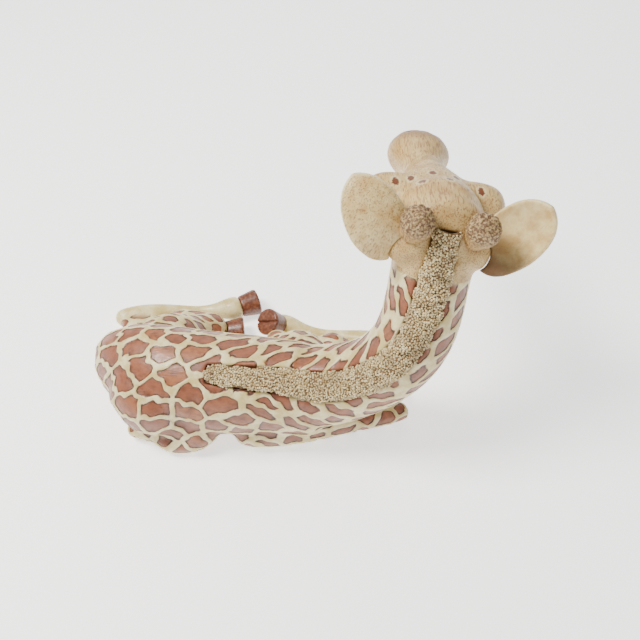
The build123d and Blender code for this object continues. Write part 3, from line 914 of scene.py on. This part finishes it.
def crumb_tree(paint):
    """Scatters small crumbs where the points' "proud" is 1. Inputs: Spacing, Size and Seed."""
    tree = bpy.data.node_groups.new("crumbs", "GeometryNodeTree")
    face = tree.interface
    face.new_socket("Geometry", in_out="INPUT", socket_type="NodeSocketGeometry")
    for name, kind in (("Spacing", "Float"), ("Size", "Float"), ("Seed", "Int")):
        face.new_socket(name, in_out="INPUT", socket_type="NodeSocket" + kind)
    face.new_socket("Geometry", in_out="OUTPUT", socket_type="NodeSocketGeometry")
    make, link = tree.nodes.new, tree.links.new
    given, result = make("NodeGroupInput"), make("NodeGroupOutput")
    scatter = make("GeometryNodeDistributePointsOnFaces")
    scatter.distribute_method = "POISSON"
    scatter.inputs["Density Max"].default_value = 4e6
    crumb = make("GeometryNodeMeshIcoSphere")
    crumb.inputs["Subdivisions"].default_value = 1
    proud = make("GeometryNodeInputNamedAttribute")
    proud.inputs["Name"].default_value = "proud"
    place = make("GeometryNodeInstanceOnPoints")
    size, turn = make("FunctionNodeRandomValue"), make("FunctionNodeRandomValue")
    size.data_type = "FLOAT_VECTOR"
    size.inputs["Min"].default_value = (0.65, 0.65, 0.55)
    size.inputs["Max"].default_value = (1.25, 1.25, 1.1)
    turn.data_type = "FLOAT_VECTOR"
    turn.inputs["Max"].default_value = (6.28, 6.28, 6.28)
    join, real = make("GeometryNodeJoinGeometry"), make("GeometryNodeRealizeInstances")
    smooth, cover = make("GeometryNodeSetShadeSmooth"), make("GeometryNodeSetMaterial")
    cover.inputs["Material"].default_value = paint
    link(given.outputs["Geometry"], scatter.inputs["Mesh"])
    link(given.outputs["Spacing"], scatter.inputs["Distance Min"])
    link(given.outputs["Seed"], scatter.inputs["Seed"])
    link(proud.outputs["Attribute"], scatter.inputs["Density Factor"])
    link(given.outputs["Size"], crumb.inputs["Radius"])
    link(scatter.outputs["Points"], place.inputs["Points"])
    link(crumb.outputs["Mesh"], place.inputs["Instance"])
    link(size.outputs["Value"], place.inputs["Scale"])
    link(turn.outputs["Value"], place.inputs["Rotation"])
    link(given.outputs["Seed"], size.inputs["Seed"])
    link(given.outputs["Seed"], turn.inputs["Seed"])
    link(place.outputs["Instances"], real.inputs["Geometry"])
    link(real.outputs["Geometry"], smooth.inputs["Geometry"])
    link(smooth.outputs["Geometry"], cover.inputs["Geometry"])
    link(cover.outputs["Geometry"], join.inputs["Geometry"])
    link(given.outputs["Geometry"], join.inputs["Geometry"])
    link(join.outputs["Geometry"], result.inputs["Geometry"])
    return tree


def crumbed(piece, tree, spacing, size, seed):
    """Replaces a piece's mesh by the same mesh with crumbs on it. Spacing and size are in mm."""
    modifier = piece.modifiers.new("crumbs", "NODES")
    modifier.node_group = tree
    wanted = {"Spacing": spacing * MM, "Size": size * MM, "Seed": seed}
    for item in tree.interface.items_tree:
        if item.in_out == "INPUT" and item.name in wanted:
            modifier[item.identifier] = wanted[item.name]
    ready = piece.evaluated_get(bpy.context.evaluated_depsgraph_get())
    mesh = bpy.data.meshes.new_from_object(ready)
    piece.modifiers.clear()
    piece.data = mesh
    print(piece.name, "faces with crumbs", len(mesh.polygons))


pit_shade_finish = pit_shade_paint()
crumbs = crumb_tree(crumb_paint())
hide_finder = KDTree(len(hide_points))
for i, point in enumerate(hide_points):
    hide_finder.insert(point, i)
hide_finder.balance()
mane_step = fine_step * 1.3
crumb_spacing, crumb_size = 1.2, 0.9
for node, seed in (("mane", 5), ("tail_tuft", 6)):
    points, normals, quads = softened(node, mane_step, 0.5)
    points = points + normals * (wobble(points, 6.0, seed)[:, 0] * 0.7)[:, None]
    under = hide_normals[[hide_finder.find(point)[1] for point in points]]
    proud = smoothstep(np.einsum("ij,ij->i", normals, under), -0.3, 0.0)
    # the strip itself gets the dark painted shade of the pits
    piece = whole_piece(node + "_hair", points, quads, {"proud": proud}, pit_shade_finish)
    crumbed(piece, crumbs, crumb_spacing, crumb_size, seed)
    settle(piece, "mane_hair", node)


# %% [markdown]
# ## Beads, felts and dowels
# The eyes' beads, the felts and the dowels already have their right shape as blocks, so they keep it and only
# get a finish.

# %% Finishes for the plain nodes
def bead_paint():
    paint = Paint("eye_glass", roughness=0.08, coat=0.6)
    depth = paint.noise(4.0)
    return paint.finish(paint.mix(depth, srgb(0.03, 0.02, 0.02), srgb(0.11, 0.06, 0.04)))


def felt_paint():
    paint = Paint("felt", roughness=0.95)
    fibre = paint.noise(0.5, detail=6)
    return paint.finish(paint.mix(fibre, srgb(0.18, 0.13, 0.10), srgb(0.30, 0.23, 0.18)), fibre, 0.3)


def dowel_paint():
    paint = Paint("dowel_wood", roughness=0.6)
    grain = paint.noise(1.0, stretch=(8, 1, 1))
    return paint.finish(paint.mix(grain, srgb(0.70, 0.55, 0.36), srgb(0.84, 0.71, 0.51)), grain, 0.1)


def repaint(node, paint):
    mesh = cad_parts[node].data
    mesh.materials.clear()
    mesh.materials.append(paint)


bead, felt, dowel = bead_paint(), felt_paint(), dowel_paint()
for node, paint in (
    ("eye_left", bead), ("eye_right", bead), ("felt_pads", felt),
    ("neck_dowel", dowel), ("head_dowel", dowel), ("leg_dowels", dowel),
):
    repaint(node, paint)
